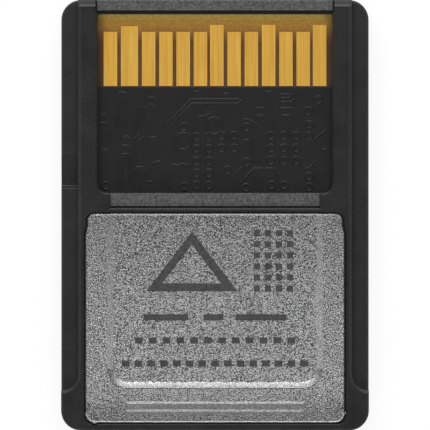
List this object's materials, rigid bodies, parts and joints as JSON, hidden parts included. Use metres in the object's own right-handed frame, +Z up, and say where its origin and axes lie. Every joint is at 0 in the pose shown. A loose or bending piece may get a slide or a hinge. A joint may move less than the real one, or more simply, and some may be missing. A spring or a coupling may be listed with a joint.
{
  "type": "cfexpress memory card",
  "caption": "Thin rectangular memory card with a contact window, stepped guide rails and a recessed metal plate, lying on its label side.",
  "frame": {"origin": "centre of the underside, which is the label side the card lies on", "axes": "+Y towards the contact end that enters the slot first, +X to the right seen from above with the contact end away, +Z up out of the contact side"},
  "size_m": [0.02, 0.028, 0.0028],
  "materials": {
    "frame_resin": "black glass-filled resin, fine satin moulded surface with two spark-textured grey-looking lands",
    "shell_resin": "black glass-filled resin, fine satin moulded surface",
    "board_laminate": "laminate under satin black solder mask, bare and amber-brown in the contact area",
    "contact_gold": "hard gold plating with fine brushed streaks along the contacts",
    "plate_steel": "stainless steel sheet, bead-blasted to an even grain",
    "adhesive_film": "clear acrylic transfer film",
    "package_mould": "black epoxy moulding compound",
    "ferrite": "sintered ferrite, dark grey",
    "crystal_lid": "nickel-plated lid on a ceramic base",
    "ceramic": "fired ceramic chips with tinned ends",
    "resistor_film": "ceramic chips with a black resistive film and tinned ends",
    "gap_filler": "soft heat-conducting silicone"
  },
  "bodies": {
    "root": {"contact_frame": "frame_resin", "label_shell": "shell_resin", "circuit_board": "board_laminate", "contact_pad_01": "contact_gold", "contact_pad_02": "contact_gold", "contact_pad_03": "contact_gold", "contact_pad_04": "contact_gold", "contact_pad_05": "contact_gold", "contact_pad_06": "contact_gold", "contact_pad_07": "contact_gold", "contact_pad_08": "contact_gold", "contact_pad_09": "contact_gold", "contact_pad_10": "contact_gold", "contact_pad_11": "contact_gold", "contact_pad_12": "contact_gold", "contact_pad_13": "contact_gold", "metal_plate": "plate_steel", "plate_adhesive": "adhesive_film", "flash_package": "package_mould", "controller_chip": "package_mould", "power_chip": "package_mould", "power_inductor": "ferrite", "clock_crystal": "crystal_lid", "signal_capacitors": "ceramic", "bypass_capacitors": "ceramic", "pull_resistors": "resistor_film", "heat_pad": "gap_filler"}
  },
  "joints": []
}
